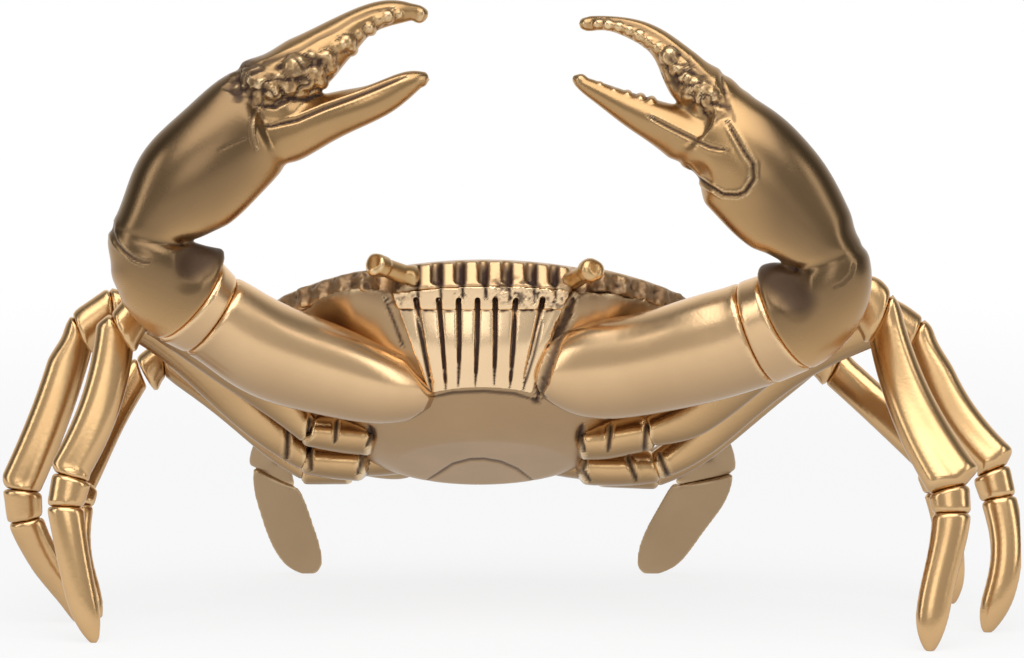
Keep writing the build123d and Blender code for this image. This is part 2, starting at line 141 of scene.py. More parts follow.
def line_distance(pixels, line):
    """Distance in pixels from each pixel to a polyline, and how far along it lies, from 0 to 1."""
    line = np.array(line, float)
    runs = np.linalg.norm(np.diff(line, axis=0), axis=1)
    before = np.concatenate([[0], np.cumsum(runs)])
    best = np.full(len(pixels), 1e9)
    along = np.zeros(len(pixels))
    for start, end, length, done in zip(line, line[1:], runs, before):
        way = (end - start) / length
        offset = pixels - start
        reach = np.clip(offset @ way, 0, length)
        distance = np.linalg.norm(offset - reach[:, None] * way, axis=1)
        nearer = distance < best
        best[nearer] = distance[nearer]
        along[nearer] = ((done + reach) / before[-1])[nearer]
    return best, along


def taper_ends(along):
    """Narrows a mark towards both ends of its line, given how far along the line each point lies."""
    return np.sqrt(np.clip(np.minimum(along, 1 - along) * 6, 0.05, 1))


class Casting:
    """One visible piece, sculpted from the CAD nodes that it replaces.

    dark: patina, dark marks and painted shade of each point; side shade: painted shade on one side; both from
    0 to 1
    fore: where marks may go that are drawn from the camera's side
    """

    def __init__(self, name, nodes, voxel, fills=()):
        self.name = name
        self.nodes = nodes
        self.mesh = remesh(name, nodes, voxel, fills)
        self.points = read(self.mesh.vertices, "co", 3) / MM
        self.edges = read(self.mesh.edges, "vertices", 2, np.int32)
        self.degree = np.bincount(self.edges.ravel(), minlength=len(self.points))
        self.dark = np.zeros(len(self.points))
        self.side_shade_share = np.zeros(len(self.points))
        self.fore = np.ones(len(self.points))
        self.refresh()

    def refresh(self):
        """Writes the points to the mesh and reads back its normals and photo pixels."""
        self.mesh.vertices.foreach_set("co", (self.points * MM).astype(np.float32).ravel())
        self.mesh.update()
        self.normals = read(self.mesh.vertices, "normal", 3)
        sight = CAMERA_EYE - self.points
        self.facing = np.sum(self.normals * sight, axis=1) / np.linalg.norm(sight, axis=1)
        self.pixels = photo_pixels(self.points)

    def mean(self, values):
        """Average of each point's neighbours."""
        first, second = self.edges.T
        count = len(values)
        sums = [
            np.bincount(first, column[second], count) + np.bincount(second, column[first], count)
            for column in values.reshape(count, -1).T
        ]
        return (np.stack(sums, axis=1) / self.degree[:, None]).reshape(values.shape)

    def average(self, rounds, mask, steps):
        """Moves each point towards its neighbours' mean by each step in turn, where the mask is high."""
        share = np.broadcast_to(np.asarray(mask, float), len(self.points))[:, None]
        for _ in range(rounds):
            for step in steps:
                self.points += (self.mean(self.points) - self.points) * share * step
        self.refresh()

    def smooth(self, rounds, mask=1.0):
        """Evens the surface out, where the mask is high."""
        self.average(rounds, mask, (1.0,))

    def relax(self, rounds, mask=1.0):
        """Evens out seams and steps, and keeps the form as full as it was."""
        self.average(rounds, mask, RELAX_STEPS)

    def bow(self, axis, shift):
        """Bends the middle of the form sideways by millimetres; its two ends along the axis stay."""
        places = self.points[:, axis]
        at = (places - places.min()) / (places.max() - places.min())
        self.points += np.sin(np.pi * at)[:, None] * shift
        self.refresh()

    def grab(self, u, v, radius, shift):
        """Drags the form round a photo pixel sideways by millimetres."""
        gap = np.hypot(self.pixels[:, 0] - u, self.pixels[:, 1] - v)
        self.points += smoothstep(radius, 0, gap)[:, None] * shift
        self.refresh()

    def painted_side_shade(self, amount, way):
        """Painted shade: darker metal on the side that faces a direction."""
        toward = self.normals @ (np.array(way) / np.linalg.norm(way))
        self.side_shade_share = np.maximum(self.side_shade_share, amount * smoothstep(-0.5, 0.6, toward))

    def near(self, centre, radius):
        """Mask of the points near a place in space, given in the working frame."""
        gap = np.linalg.norm(self.points - (HOME + centre), axis=1)
        return smoothstep(radius, radius * 0.6, gap)

    def front(self, reach=0.0):
        """Mask of the points that face the camera; a negative reach takes in the silhouette."""
        return smoothstep(reach + FRONT_START, reach + FRONT_FULL, self.facing) * self.fore

    def push(self, amount):
        """Moves the points along their normals by millimetres."""
        self.points += self.normals * amount[:, None]

    def groove(self, line, width, depth, dark=0.8, reach=0.0, lip=0.0):
        """A tapering groove along a line of photo pixels, with a raised lip on both sides if asked."""
        gap, along = line_distance(self.pixels, line)
        taper = taper_ends(along)
        inside = np.clip(1 - (gap / (width * taper)) ** 2, 0, 1) ** 1.5 * self.front(reach)
        ridge = np.exp(-(((gap - width * 1.5) / (width * 0.6)) ** 2)) * self.front(reach) * taper
        self.push(lip * ridge - depth * inside)
        self.dark = np.maximum(self.dark, dark * inside)

    def even_out(self, start, end):
        """Gives a limb between two places in the row frame one even curve and one even taper."""
        way = (np.array(end) - start) / np.linalg.norm(np.array(end) - start)
        across = np.cross(way, (0, 1, 0))
        across /= np.linalg.norm(across)
        deep = np.cross(way, across)
        along, side, depth = ((self.points - start) @ np.stack([way, across, deep], axis=1)).T
        low, high = np.percentile(along, (0.5, 99.5))
        at = (along - low) / (high - low)
        inner = (at > END_SHARE) & (at < 1 - END_SHARE)
        middle_side = np.polyval(np.polyfit(at[inner], side[inner], 2), at)
        middle_depth = np.polyval(np.polyfit(at[inner], depth[inner], 2), at)
        angle = np.arctan2(depth - middle_depth, side - middle_side)
        radius = np.hypot(depth - middle_depth, side - middle_side)
        turns = (np.ones_like(at), np.cos(angle), np.sin(angle), np.cos(2 * angle), np.sin(2 * angle))
        basis = np.stack([at**power * turn for power in range(2) for turn in turns], axis=1)
        even = basis @ np.linalg.lstsq(basis[inner], radius[inner], rcond=None)[0]
        share = smoothstep(0.0, END_SHARE, at) * smoothstep(1.0, LOWER_FADE, at)
        grow = 1 + (np.clip(even / np.maximum(radius, 0.1), *GIRTH_LIMITS) - 1) * share
        side = middle_side + (side - middle_side) * grow
        depth = middle_depth + (depth - middle_depth) * grow
        self.points = start + np.outer(along, way) + np.outer(side, across) + np.outer(depth, deep)
        self.smooth(3)

    def round_tip(self, height, least):
        """Rounds the lowest part off, down to a share of its width at the floor."""
        z = self.points[:, 2]
        low, high = (self.points[np.abs(z - level) < 1].mean(axis=0) for level in (0.5, height))
        middle = low + np.outer(z / height, high - low)
        curve = np.sqrt(np.clip(1 - np.clip(1 - z / height, 0, 1) ** 2, 0, 1))
        share = least + (1 - least) * curve
        self.points[:, :2] = middle[:, :2] + (self.points[:, :2] - middle[:, :2]) * share[:, None]
        self.refresh()

    def tuck(self, line, side, shift, ramp):
        """Draws the part beyond a line of photo pixels back into the body by a shift, with a rounded end."""
        line = np.array(line, float)
        beyond = (self.pixels[:, 0] - np.interp(self.pixels[:, 1], line[:, 1], line[:, 0])) * side
        self.points += smoothstep(-ramp, ramp, beyond)[:, None] ** 1.5 * shift
        self.refresh()

    def ridge(self, line, width, height, reach=0.0):
        """A raised bead along a line of photo pixels."""
        gap, along = line_distance(self.pixels, line)
        taper = taper_ends(along)
        self.push(height * np.clip(1 - (gap / (width * taper)) ** 2, 0, 1) ** 1.5 * self.front(reach))

    def knob(self, u, v, radius, height, reach=-0.25):
        """A rounded knob, or a dish where the height is negative, at a photo pixel."""
        gap = np.hypot(self.pixels[:, 0] - u, self.pixels[:, 1] - v) / radius
        dome = np.clip(1 - gap**2, 0, 1) ** (0.8 if height > 0 else 2)
        self.push(height * dome * self.front(reach))

    def crumbs(self, mask, height, scale, seed, dark=0.5):
        """Rough casting skin: pits and crumbs of about the given size."""
        grain = noise(self.points, scale, seed) + 0.6 * noise(self.points, scale / 2.1, seed + 1)
        self.push(height * grain * mask)
        self.dark = np.maximum(self.dark, dark * mask * smoothstep(0.0, -0.7, grain))

    def cracks(self, mask, depth, scale, seed, dark=0.9):
        """Sharp dark cracks between flat lumps of about the given size."""
        crack = np.exp(-((noise(self.points, scale, seed) / CRACK_WIDTH) ** 2))
        self.push(-depth * crack * mask)
        self.dark = np.maximum(self.dark, dark * mask * crack)

    def paint_shade(self, line, width, dark, reach=0.0):
        """Painted shade that fades out from a line of photo pixels."""
        gap, _ = line_distance(self.pixels, line)
        self.dark = np.maximum(self.dark, dark * smoothstep(width, width * 0.3, gap) * self.front(reach))

    def bend_of_surface(self):
        """How hollow the surface is at each point, in 1/mm: positive in a groove, negative on an edge."""
        offset = self.mean(self.points) - self.points
        first, second = self.points[self.edges[:, 0]], self.points[self.edges[:, 1]]
        step = np.mean(np.linalg.norm(first - second, axis=1))
        bend = 4 * np.sum(offset * self.normals, axis=1) / step**2
        for _ in range(2):
            bend = self.mean(bend)
        return bend

    def finish(self, slot, material):
        """Makes the object, with its patina, painted shade and polish attributes and material, in place of its
        CAD nodes.
        """
        self.points = np.clip(self.points, CAD_LOW, CAD_HIGH)
        self.refresh()
        bend = self.bend_of_surface()
        dark = np.clip(np.maximum(self.dark, smoothstep(*PATINA_BEND, bend)), 0, 1)
        # Patina in the hollows and dark marks, together with painted shade along lines; then painted shade on
        # one side; then polish on the edges.
        write(self.mesh, "patina_and_shade", dark)
        write(self.mesh, "side_shade_share", self.side_shade_share)
        write(self.mesh, "rub", smoothstep(*RUB_BEND, -bend))
        self.mesh.polygons.foreach_set("use_smooth", np.ones(len(self.mesh.polygons), bool))
        self.mesh.materials.clear()
        self.mesh.materials.append(material)
        piece = bpy.data.objects.new(self.name, self.mesh)
        bpy.context.scene.collection.objects.link(piece)
        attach(piece, "root")
        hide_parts(*self.nodes)


def read(items, what, width, kind=np.float32):
    """Reads a property of mesh elements into an array."""
    values = np.empty(len(items) * width, kind)
    items.foreach_get(what, values)
    values = values.reshape(-1, width)
    return values.astype(float) if kind is np.float32 else values


def write(mesh, name, values):
    """Stores one number for each point of a mesh."""
    layer = mesh.attributes.new(name, "FLOAT", "POINT")
    layer.data.foreach_set("value", values.astype(np.float32))


def remesh(name, nodes, voxel, fills):
    """One even skin round CAD nodes and fills: balls as x, y, z and radius in the working frame."""
    form = bmesh.new()
    for node in nodes:
        form.from_mesh(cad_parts[node].data)
    for *place, radius in fills:
        ball = Matrix.Translation(Vector((HOME + place) * MM)) @ Matrix.Scale(radius * MM, 4)
        bmesh.ops.create_icosphere(form, subdivisions=3, radius=1, matrix=ball)
    source = bpy.data.meshes.new(name + "_source")
    form.to_mesh(source)
    form.free()
    holder = bpy.data.objects.new(name + "_source", source)
    bpy.context.scene.collection.objects.link(holder)
    grid = holder.modifiers.new("grid", "REMESH")
    grid.mode = "VOXEL"
    grid.voxel_size = voxel * MM
    bpy.context.view_layer.update()
    skin = bpy.data.meshes.new_from_object(holder.evaluated_get(bpy.context.evaluated_depsgraph_get()))
    skin.name = name
    bpy.data.objects.remove(holder)
    bpy.data.meshes.remove(source)
    return skin


# Camera, world, floor and lamps


def make_camera():
    """The photograph's viewpoint."""
    data = bpy.data.cameras.new("camera")
    data.sensor_width = SENSOR_WIDTH
    data.lens = FOCAL_PX / PHOTO_WIDTH * SENSOR_WIDTH
    data.clip_end = 30.0
    camera = bpy.data.objects.new("camera", data)
    camera.location = CAMERA_EYE * MM
    camera.rotation_euler = (math.pi / 2 - CAMERA_PITCH, 0, 0)
    bpy.context.scene.collection.objects.link(camera)
    bpy.context.scene.camera = camera


def add_node(tree, kind, inputs=None, **settings):
    """Adds a shader node with its settings, and then the inputs that stay fixed."""
    node = tree.nodes.new("ShaderNode" + kind)
    for name, value in settings.items():
        setattr(node, name, value)
    for socket, value in (inputs or {}).items():
        node.inputs[socket].default_value = value
    return node


def add_range(tree, from_min, from_max, to_min, to_max, **settings):
    """Adds a node that maps one range of values onto another."""
    ends = {"From Min": from_min, "From Max": from_max, "To Min": to_min, "To Max": to_max}
    return add_node(tree, "MapRange", ends, **settings)


def link(tree, *pairs):
    """Links sockets in a node tree, given as from, to, from, to."""
    for start, end in zip(pairs[::2], pairs[1::2]):
        tree.links.new(start, end)


# What the camera sees behind the crab, what the metal mirrors, and what lights it from all round.
WHITE = (1, 1, 1, 1)
STUDIO_WHITE = (1, 0.99, 0.97, 1)
FILL_GREY = (0.30, 0.30, 0.31, 1)
# How bright the studio is in the metal, in front, at the sides and behind.
STUDIO_LEVELS = (0.50, 0.12, 0.90)
STUDIO_PLACES = (0.0, 0.5, 1.0)


def make_world():
    """A white studio: white to the camera, and to the metal white behind and dim in front."""
    world = bpy.data.worlds.new("studio")
    bpy.context.scene.world = world
    world.use_nodes = True
    tree = world.node_tree
    tree.nodes.clear()
    out = add_node(tree, "OutputWorld")
    path = add_node(tree, "LightPath")
    coords = add_node(tree, "TexCoord")
    split = add_node(tree, "SeparateXYZ")
    half = add_node(tree, "Math", {1: 0.5, 2: 0.5}, operation="MULTIPLY_ADD")
    ramp = add_node(tree, "ValToRGB")
    ramp.color_ramp.interpolation = "EASE"
    for place, level in zip(STUDIO_PLACES, STUDIO_LEVELS):
        stop = ramp.color_ramp.elements[0] if place == 0 else ramp.color_ramp.elements.new(place)
        stop.color = (level, level, level, 1)
    white = add_node(tree, "Background", {"Color": WHITE})
    studio = add_node(tree, "Background", {"Color": STUDIO_WHITE})
    fill = add_node(tree, "Background", {"Color": FILL_GREY})
    glossy = add_node(tree, "MixShader")
    seen = add_node(tree, "MixShader")
    link(
        tree,
        coords.outputs["Generated"], split.inputs[0],
        split.outputs["Y"], half.inputs[0],
        half.outputs[0], ramp.inputs["Fac"],
        ramp.outputs["Color"], studio.inputs["Strength"],
        path.outputs["Is Glossy Ray"], glossy.inputs["Fac"],
        fill.outputs[0], glossy.inputs[1],
        studio.outputs[0], glossy.inputs[2],
        path.outputs["Is Camera Ray"], seen.inputs["Fac"],
        glossy.outputs[0], seen.inputs[1],
        white.outputs[0], seen.inputs[2],
        seen.outputs[0], out.inputs["Surface"],
    )


# Half the floor's width in metres.
FLOOR_REACH = 14.0
FLOOR_GREY = (0.9, 0.9, 0.9, 1)
# Metres from the crab between which the floor fades to white, and its share of white at both.
FLOOR_FADE = (0.25, 1.3, 0.82, 1.0)


def make_floor():
    """A pale floor that keeps a faint shadow near the crab and fades to white further out."""
    mesh = bpy.data.meshes.new("floor")
    corners = [(FLOOR_REACH * x, FLOOR_REACH * y, 0) for x, y in ((-1, -1), (1, -1), (1, 1), (-1, 1))]
    mesh.from_pydata(corners, [], [(0, 1, 2, 3)])
    floor = bpy.data.objects.new("floor", mesh)
    bpy.context.scene.collection.objects.link(floor)
    material = bpy.data.materials.new("floor_white")
    material.use_nodes = True
    tree = material.node_tree
    tree.nodes.clear()
    out = add_node(tree, "OutputMaterial")
    path = add_node(tree, "LightPath")
    coords = add_node(tree, "TexCoord")
    distance = add_node(tree, "VectorMath", operation="LENGTH")
    fade = add_range(tree, *FLOOR_FADE, interpolation_type="SMOOTHSTEP")
    share = add_node(tree, "Math", operation="MULTIPLY")
    either = add_node(tree, "Math", operation="MAXIMUM")
    matt = add_node(tree, "BsdfDiffuse", {"Color": FLOOR_GREY})
    glow = add_node(tree, "Emission", {"Color": WHITE})
    mix = add_node(tree, "MixShader")
    link(
        tree,
        coords.outputs["Object"], distance.inputs[0],
        distance.outputs["Value"], fade.inputs["Value"],
        path.outputs["Is Camera Ray"], either.inputs[0],
        path.outputs["Is Glossy Ray"], either.inputs[1],
        either.outputs[0], share.inputs[0],
        fade.outputs["Result"], share.inputs[1],
        share.outputs[0], mix.inputs["Fac"],
        matt.outputs[0], mix.inputs[1],
        glow.outputs[0], mix.inputs[2],
        mix.outputs[0], out.inputs["Surface"],
    )
    mesh.materials.append(material)


def add_softbox(name, place, target, width, height, power):
    """A rectangular area lamp that faces a target."""
    data = bpy.data.lights.new(name, "AREA")
    data.shape = "RECTANGLE"
    data.size = width
    data.size_y = height
    data.energy = power
    lamp = bpy.data.objects.new(name, data)
    lamp.location = place
    lamp.rotation_euler = (Vector(target) - Vector(place)).to_track_quat("-Z", "Y").to_euler()
    bpy.context.scene.collection.objects.link(lamp)


def make_lamps():
    """Soft studio light: a large softbox overhead, a small one in front and one at each side."""
    middle = (0, 0, 0.13)
    add_softbox("top_box", (0.0, -0.6, 1.3), middle, 1.5, 1.2, 13)
    add_softbox("front_box", (-0.15, -2.0, 0.85), middle, 0.8, 0.7, 2.4)
    add_softbox("left_box", (-1.3, -0.7, 0.7), middle, 0.35, 1.0, 2.5)
    add_softbox("right_box", (1.3, -0.7, 0.7), middle, 0.35, 1.0, 2.5)


# Materials

# Brown of the patina in the hollows and of the painted shade.
PATINA_AND_SHADE_BROWN = (0.045, 0.018, 0.010, 1)
POLISH_GOLD = (0.93, 0.70, 0.42, 1)
# Painted side shade is the clouded colour, darkened by a factor and lifted by a little grey.
SIDE_SHADE_SHARE = 0.36
SIDE_SHADE_LIFT = 0.02
# Size of the clouds and of the grain in the metal, as noise scales per metre.
CLOUD_SCALE = 38.0
GRAIN_SCALE = 900.0
# From which to which cloud value the clouded colour grows, and how much of it there is at both.
CLOUDS = (0.35, 0.75, 0.0, 0.35)
POLISH_SHARE = 0.7
CLOUD_ROUGHNESS = 0.10
# Roughness and metal where the patina and painted shade are full.
PATINA_AND_SHADE_ROUGHNESS = 0.6
PATINA_AND_SHADE_METAL = 0.35
GRAIN_STRENGTH = 0.06
GRAIN_HEIGHT = 0.0004
# Each slot's brass: its bright and its clouded colour, and its roughness where it is clean. The slots are lit
# and shaded copies of one brass: painted light makes the mouth and arm brasses lightest, and painted shade
# makes the claw, belly and paddle brasses darkest.
BRASSES = {
    "shell_brass": ((0.62, 0.40, 0.21), (0.40, 0.25, 0.13), 0.26),
    "belly_brass": ((0.52, 0.34, 0.18), (0.42, 0.28, 0.16), 0.30),
    "mouth_brass": ((0.93, 0.68, 0.42), (0.74, 0.50, 0.28), 0.22),
    "claw_brass": ((0.55, 0.34, 0.155), (0.40, 0.24, 0.105), 0.23),
    "arm_brass": ((0.90, 0.61, 0.34), (0.68, 0.44, 0.23), 0.19),
    "leg_brass": ((0.76, 0.49, 0.24), (0.50, 0.30, 0.135), 0.20),
    "paddle_brass": ((0.42, 0.29, 0.17), (0.33, 0.23, 0.14), 0.34),
    "eye_brass": ((0.60, 0.38, 0.17), (0.44, 0.27, 0.11), 0.24),
}


def add_noise(tree, coords, scale, detail):
    """A noise texture over the object's own coordinates."""
    texture = add_node(tree, "TexNoise", {"Scale": scale, "Detail": detail})
    tree.links.new(coords.outputs["Object"], texture.inputs["Vector"])
    return texture


def add_blend(tree, colours):
    """A blend of two colours, of which those given are fixed."""
    return add_node(tree, "Mix", colours, data_type="RGBA")


def make_brass(name, bright, deep, roughness):
    """Antique brass: polished on the high parts, brown patina in the hollows, painted shade along some lines
    and on one side, faint uneven tone.
    """
    material = bpy.data.materials.new(name)
    material.use_nodes = True
    tree = material.node_tree
    shader = tree.nodes["Principled BSDF"]
    coords = add_node(tree, "TexCoord")
    cloud = add_noise(tree, coords, CLOUD_SCALE, 3)
    grain = add_noise(tree, coords, GRAIN_SCALE, 2)
    patina_and_shade = add_node(tree, "Attribute", attribute_name="patina_and_shade")
    rub = add_node(tree, "Attribute", attribute_name="rub")
    side_shade_share = add_node(tree, "Attribute", attribute_name="side_shade_share")
    tone = add_range(tree, *CLOUDS)
    painted_side_shade = [SIDE_SHADE_SHARE * part + SIDE_SHADE_LIFT for part in deep]
    worn = add_blend(tree, {"A": (*bright, 1), "B": (*deep, 1)})
    side_shaded = add_blend(tree, {"B": (*painted_side_shade, 1)})
    polished = add_blend(tree, {"B": POLISH_GOLD})
    patina_and_shade_mix = add_blend(tree, {"B": PATINA_AND_SHADE_BROWN})
    shine = add_node(tree, "Math", {1: POLISH_SHARE}, operation="MULTIPLY")
    rough = add_range(tree, 0.0, 1.0, roughness, PATINA_AND_SHADE_ROUGHNESS)
    uneven = add_node(tree, "Math", {1: CLOUD_ROUGHNESS}, operation="MULTIPLY_ADD")
    metal = add_range(tree, 0.0, 1.0, 1.0, PATINA_AND_SHADE_METAL)
    bump = add_node(tree, "Bump", {"Strength": GRAIN_STRENGTH, "Distance": GRAIN_HEIGHT})
    link(
        tree,
        cloud.outputs["Fac"], tone.inputs["Value"],
        tone.outputs["Result"], worn.inputs["Factor"],
        worn.outputs["Result"], side_shaded.inputs["A"],
        side_shade_share.outputs["Fac"], side_shaded.inputs["Factor"],
        side_shaded.outputs["Result"], polished.inputs["A"],
        rub.outputs["Fac"], shine.inputs[0],
        shine.outputs[0], polished.inputs["Factor"],
        polished.outputs["Result"], patina_and_shade_mix.inputs["A"],
        patina_and_shade.outputs["Fac"], patina_and_shade_mix.inputs["Factor"],
        patina_and_shade_mix.outputs["Result"], shader.inputs["Base Color"],
        patina_and_shade.outputs["Fac"], rough.inputs["Value"],
        cloud.outputs["Fac"], uneven.inputs[0],
        rough.outputs["Result"], uneven.inputs[2],
        uneven.outputs[0], shader.inputs["Roughness"],
        patina_and_shade.outputs["Fac"], metal.inputs["Value"],
        metal.outputs["Result"], shader.inputs["Metallic"],
        grain.outputs["Fac"], bump.inputs["Height"],
        bump.outputs["Normal"], shader.inputs["Normal"],
    )
    return material


def make_materials():
    """One finish for each of the record's slots."""
    return {slot: make_brass(slot, *look) for slot, look in BRASSES.items()}


# Grid of each casting's skin, in millimetres: finer where its marks are finer.
GRIDS = {
    "claw": 0.75, "shell": 0.8, "belly": 1.0, "plate": 0.5, "arm": 0.85, "cuff": 0.8, "eye": 0.4,
    "paddle": 0.7, "leg": 0.9,
}
# Sides of a casting that get painted shade, as directions.
UPPER_SIDE = (0, -0.5, 1)
UNDERSIDE = (0, 0.2, -1)
BELLY_SIDE = (0, -0.1, -1)

# Claws, as lines and spots in photo pixels. A knob is its place, its radius in pixels and its height
# in millimetres, and a dish has a negative height and, last, how far round the form it reaches.

LEFT_FINGER_SEAM = ((263, 103), (255, 119), (253, 128), (254, 139), (258, 150))
LEFT_FINGER_FURROW = ((264, 126), (272, 126), (297, 120), (324, 108), (351, 98), (378, 87), (405, 76))
LEFT_GAPE_LINE = ((258, 106), (275, 107), (290, 99), (305, 100), (322, 94))
LEFT_KNOB_BORDER = (
    (236, 74), (262, 63), (280, 56), (300, 49), (318, 38), (336, 30), (352, 20), (372, 12), (394, 8),
)
LEFT_GAPE_MIDDLE = ((245, 82), (275, 85), (310, 72))
LEFT_PALM_CREASE = ((219, 150), (232, 144), (246, 138))
LEFT_COLLAR = ((113, 220), (112, 232), (116, 243), (124, 252), (134, 259), (144, 263), (151, 262))
LEFT_KNOBS = (
    (296, 67, 14, 3.2), (273, 93, 9, 1.6), (290, 88, 10, 1.7), (260, 85, 8, 1.0), (249, 80, 6, 0.7),
    (279, 79, 7, 1.0), (313, 57, 8, 1.2), (316, 71, 9, 1.7), (327, 58, 9, 2.0), (333, 68, 6, 1.2),
    (338, 47, 7, 1.2), (347, 42, 9, 2.2), (353, 51, 6, 1.2), (360, 35, 6, 1.0), (370, 29, 7, 1.8),
    (379, 21, 6, 1.0), (388, 17, 7, 1.5), (399, 15, 5, 0.8), (322, 83, 7, 1.5), (307, 83, 8, 1.2),
)
RIGHT_UPPER_SEAM = ((722, 77), (726, 98), (732, 112), (736, 123))
RIGHT_LOWER_SEAM = (
    (727, 121), (736.5, 138), (745, 153), (753, 164), (753.5, 179), (745, 192), (738, 195), (723, 194.5),
    (709, 186), (698, 178), (687, 166),
)
RIGHT_FINGER_FURROW = ((648, 116), (672, 129), (694, 139.5), (709, 147), (728, 151))
RIGHT_GAPE_MIDDLE = ((676, 70), (700, 95), (715, 104))
RIGHT_KNOB_BORDER = ((598, 18), (620, 21), (640, 27), (662, 39), (682, 54), (700, 71), (718, 90))
RIGHT_KNOBS = (
    (597, 24, 5, 0.6), (608, 25, 6, 1.0), (619, 27, 6, 0.9), (629, 31, 6, 1.0), (639, 36, 7, 1.4),
    (648, 42, 7, 1.2), (657, 48, 7, 1.3), (669, 56, 10, 2.2), (677, 67, 7, 1.4), (684, 75, 8, 1.6),
    (692, 83, 9, 1.8), (702, 88, 8, 1.3), (713, 96, 7, 1.1), (699, 99, 7, 1.2), (688, 94, 7, 1.4),
    (706, 107, 6, 0.8),
)
RIGHT_COLLAR = ((855, 262), (851, 274), (843, 283), (832, 288))
RIGHT_TEETH = ((600, 84, 3, 0.7), (614, 90, 3, 0.7), (628, 93, 4, 0.9), (641, 97, 5, 1.3), (652, 99, 5, 1.3))

# The valley on the inner side of each wrist, below the palm, along which shade is painted.
LEFT_VALLEY_SHADE = ((216, 244), (204, 254), (190, 264))
RIGHT_VALLEY_SHADE = ((772, 274), (788, 286), (800, 300))
LEFT_DISHES = ((196, 262, 24, -3.0, 0.25), (186, 280, 20, -1.2, 0.2))
RIGHT_DISHES = ((788, 288, 26, -3.0, 0.25), (802, 308, 22, -1.5, 0.2))
# Balls that fill the gape between the fingers and round off the knuckles, in the working frame.
LEFT_FILLS = (
    (-92, -80, 230, 9.5), (-85, -79, 231, 6.5), (-106, -82, 227, 12.0), (-113, -82, 225.5, 12.0),
    (-98, -81, 222, 12.0), (-38.5, -70.5, 261.2, 3.2), (-38.2, -70.5, 234.0, 3.3),
)
RIGHT_FILLS = (
    (76, -80, 225, 7.0), (84, -82, 226, 12.0), (91, -82, 221.5, 11.0), (86, -82, 213.5, 12.5),
    (31, -70.5, 258.0, 2.6), (28.6, -70.8, 234.4, 2.9),
)
# The middle of each palm's narrow start, and of its finger end, in the working frame.
LEFT_NECK = (-150, -92, 172)
LEFT_KNUCKLE = (-100, -82, 222)
RIGHT_NECK = (131, -93, 163)
RIGHT_KNUCKLE = (80, -82, 219)
# The middle of each lower finger's start, in the working frame.
FINGER_ROOTS = {"left": (-97, -84, 211), "right": (82, -84, 207)}
# Distances from the body's middle plane between which the claw's painted shade grows from a quarter to full.
FINGERS_LESS_SHADED = 88
PALM_FULLY_SHADED = 112
# Small pulls that fit the castings' outlines: a photo pixel, a radius in pixels, a shift in millimetres.
CLAW_PULLS = {
    "left": (
        (262, 54, 34, (0.8, 0, -1.8)), (224, 256, 36, (2.4, 0, 4.4)), (340, 66, 34, (-0.8, 0, 1.4)),
        (112, 262, 26, (1.8, 0, 0)), (113, 290, 20, (1.2, 0, 0)), (405, 76, 44, (0.3, 0, 1.4)),
        (424, 8, 16, (0.4, 0, 0.8)),
    ),
    "right": (
        (708, 70, 22, (-0.6, 0, -0.8)), (688, 180, 32, (4.4, 0, 3.2)), (770, 270, 34, (-1.8, 0, 3.0)),
        (858, 235, 26, (-1.5, 0, 0)), (846, 205, 60, (-1.0, 0, -0.3)), (645, 52, 40, (0.2, 0, 0.8)),
    ),
}


def claw(side, neck, knuckle, fills):
    """A claw's wrist, palm and fingers as one skin, with the limb's plain seams smoothed away."""
    nodes = [f"{side}_{part}" for part in ("wrist", "palm", "upper_finger", "lower_finger")]
    form = Casting(f"{side}_claw", nodes, GRIDS["claw"], fills)
    form.smooth(6, form.near(neck, 26))
    form.relax(70, form.near(neck, 40))
    form.smooth(8, form.near(knuckle, 32))
    form.relax(60, form.near(knuckle, 44))
    form.smooth(14, form.near(FINGER_ROOTS[side], 20))
    form.relax(4)
    for pull in CLAW_PULLS[side]:
        form.grab(*pull)
    # Painted shade on the claw's upper side, less of it on the fingers.
    form.painted_side_shade(0.85, UPPER_SIDE)
    form.side_shade_share *= 0.25 + 0.75 * smoothstep(FINGERS_LESS_SHADED, PALM_FULLY_SHADED, np.abs(form.points[:, 0]))
    return form


def hollow_wrist(form, dishes, neck, shaded_valley):
    """Presses in the hollow on the inner side of a wrist, and paints shade along it."""
    for dish in dishes:
        form.knob(*dish)
    form.refresh()
    form.relax(12, form.near(neck, 30))
    # Painted shade along the valley below the palm.
    form.paint_shade(shaded_valley, 24, 0.7)


def set_knobs(form, border, width, knobs):
    """The knobs of a gape, below the border that they start from."""
    form.groove(border, width, 0.45, 0.45)
    form.refresh()
    for knob in knobs:
        form.knob(*knob)
    form.refresh()


def left_claw():
    """The left claw, with the large knobs and cracks of its open gape."""
    form = claw("left", LEFT_NECK, LEFT_KNUCKLE, LEFT_FILLS)
    hollow_wrist(form, LEFT_DISHES, LEFT_NECK, LEFT_VALLEY_SHADE)
    set_knobs(form, LEFT_KNOB_BORDER, 3.2, LEFT_KNOBS)
    gap, _ = line_distance(form.pixels, LEFT_GAPE_MIDDLE)
    form.cracks(smoothstep(26, 14, gap) * form.front(), 1.0, 4.5, 5)
    form.refresh()
    form.crumbs(smoothstep(24, 12, gap) * form.front(), 0.3, 2.2, 6)
    form.refresh()
    form.groove(LEFT_GAPE_LINE, 3.0, 0.9, 0.9)
    form.ridge(LEFT_FINGER_SEAM, 2.4, 0.45)
    form.groove([(u - 3, v) for u, v in LEFT_FINGER_SEAM], 1.8, 0.3, 0.45)
    form.groove(LEFT_FINGER_FURROW, 2.6, 0.8, 0.95, lip=0.25)
    form.groove(LEFT_PALM_CREASE, 1.6, 0.25, 0.35)
    form.groove(LEFT_COLLAR, 2.4, 0.6, 0.45, reach=-0.2, lip=0.3)
    return form


